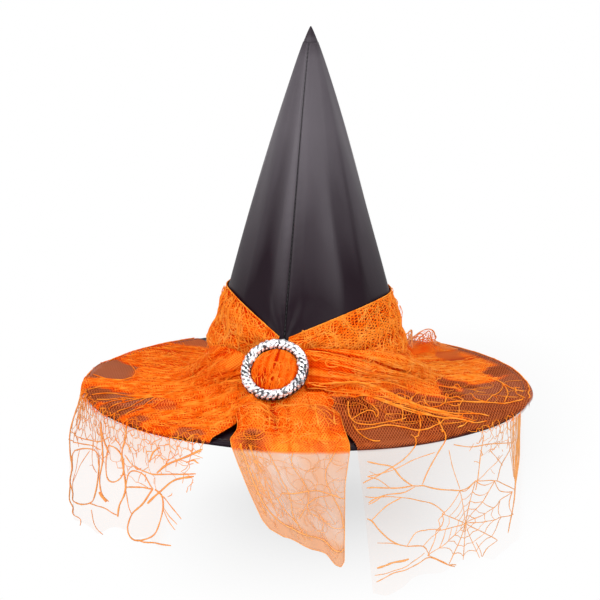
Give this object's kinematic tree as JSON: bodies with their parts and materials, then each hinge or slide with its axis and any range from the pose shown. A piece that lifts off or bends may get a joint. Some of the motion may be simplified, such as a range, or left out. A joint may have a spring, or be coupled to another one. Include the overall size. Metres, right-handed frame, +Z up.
{
  "type": "witch hat",
  "caption": "Pointed witch hat with a flat round brim and a lace scarf gathered through a rhinestone ring, with veils and a tail hanging past the rim.",
  "frame": {"origin": "centre of the head opening, in the plane of the brim's underside", "axes": "+Z up along the crown towards its point, -Y towards the front seam and the ring, +X towards the right of the hat seen from its front"},
  "size_m": [0.4087, 0.3987, 0.4375],
  "materials": {
    "satin": "black satin",
    "lining": "matt black lining",
    "board": "stiffened felt",
    "thread": "black sewing thread",
    "wire": "drawn wire",
    "lace": "orange net with spider-web threads",
    "silver": "bright plated metal",
    "stones": "clear cut stones with foil backs"
  },
  "bodies": {
    "hat": {"crown_panel_left": "satin", "crown_panel_right": "satin", "crown_tip": "satin", "brim_top_cover": "satin", "brim_under_cover": "satin", "crown_interlining": "lining", "sweatband": "lining", "brim_stiffener": "board", "front_seam_thread": "thread", "back_seam_thread": "thread", "crown_base_thread": "thread", "sweatband_thread": "thread", "brim_edge_thread": "thread", "lace_back_tack": "thread", "lace_left_tack": "thread", "lace_right_tack": "thread", "brim_edge_wire": "wire", "lace_wrap_left": "lace", "lace_wrap_right": "lace", "lace_wing_left": "lace", "lace_wing_right": "lace", "lace_tail_top": "lace", "lace_gather": "lace"},
    "buckle": {"buckle_frame": "silver", "rhinestone_rope": "stones", "lace_puff": "lace"},
    "left_veil": {"lace_veil_left": "lace"},
    "right_veil": {"lace_veil_right": "lace"},
    "front_tail": {"lace_tail_end": "lace"}
  },
  "joints": [
    {"name": "left_veil_swing", "type": "hinge", "parent": "hat", "child": "left_veil", "pos_m": [-0.13616, -0.12368, 0.0021], "axis": [-0.6724, 0.7402, 0], "range_deg": [-8, 35]},
    {"name": "right_veil_swing", "type": "hinge", "parent": "hat", "child": "right_veil", "pos_m": [0.16082, -0.10246, 0.0021], "axis": [-0.5373, -0.8434, 0], "range_deg": [-8, 35]},
    {"name": "tail_swing", "type": "hinge", "parent": "hat", "child": "front_tail", "pos_m": [0.03697, -0.19474, 0.0021], "axis": [-0.9825, -0.1865, 0], "range_deg": [-8, 50]},
    {"name": "buckle_rock", "type": "hinge", "parent": "hat", "child": "buckle", "pos_m": [0, -0.10584, 0.04122], "axis": [0, 0.6947, 0.7193], "range_deg": [-8, 8]}
  ]
}
